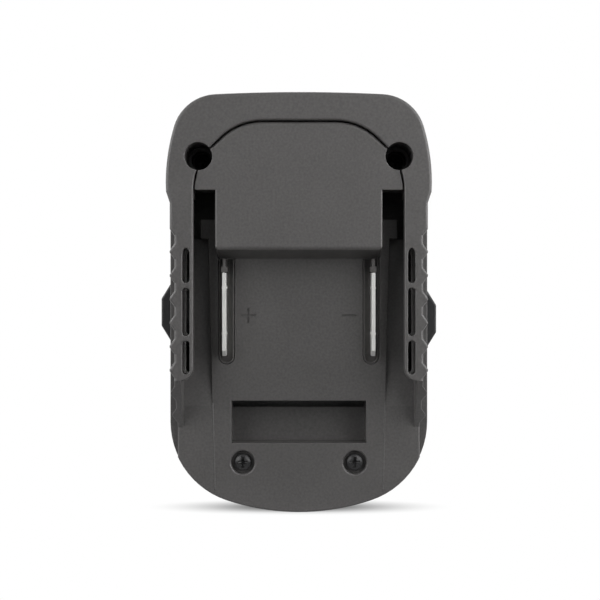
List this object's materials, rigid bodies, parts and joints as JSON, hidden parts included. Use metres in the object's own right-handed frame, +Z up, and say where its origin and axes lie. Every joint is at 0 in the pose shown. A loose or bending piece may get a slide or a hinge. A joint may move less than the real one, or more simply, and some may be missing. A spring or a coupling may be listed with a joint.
{
  "type": "tool battery adapter",
  "caption": "Slide-in battery adapter with a railed battery side, blade terminals, a railed tool-side tower and sprung side release buttons.",
  "frame": {"origin": "on the tool seat, on the centre line, midway along the tool rails that hold the adapter", "axes": "+Z up along both sets of rails, +Y from the battery side to the tool side, +X to the right seen from the battery side"},
  "size_m": [0.084, 0.046, 0.1251],
  "materials": {
    "shell_plastic": "fine spark-eroded charcoal grain",
    "hood_plastic": "fine spark-eroded charcoal grain",
    "insulator_plastic": "satin dark grey",
    "tinned_metal": "bright tinned copper alloy",
    "red_insulation": "satin wire insulation",
    "black_insulation": "satin wire insulation",
    "button_plastic": "satin black",
    "spring_steel": "drawn spring wire",
    "black_steel": "black oxide"
  },
  "bodies": {
    "housing": {"front_housing": "shell_plastic", "terminal_hood": "hood_plastic", "rear_housing": "shell_plastic", "terminal_block": "insulator_plastic", "positive_blade": "tinned_metal", "negative_blade": "tinned_metal", "positive_blade_holder": "insulator_plastic", "negative_blade_holder": "insulator_plastic", "positive_tool_clip": "tinned_metal", "negative_tool_clip": "tinned_metal", "positive_lead": "red_insulation", "negative_lead": "black_insulation", "left_button_spring": "spring_steel", "right_button_spring": "spring_steel", "upper_left_screw": "black_steel", "upper_right_screw": "black_steel", "lower_left_screw": "black_steel", "lower_right_screw": "black_steel"},
    "left_button": {"left_release_button": "button_plastic"},
    "right_button": {"right_release_button": "button_plastic"}
  },
  "joints": [
    {"name": "left_button_slide", "type": "slide", "parent": "housing", "child": "left_button", "axis": [1, 0, 0], "range_m": [0, 0.0026], "stiffness_N_per_m": 900, "deforming": ["left_button_spring"]},
    {"name": "right_button_slide", "type": "slide", "parent": "housing", "child": "right_button", "axis": [-1, 0, 0], "range_m": [0, 0.0026], "stiffness_N_per_m": 900, "deforming": ["right_button_spring"]}
  ]
}
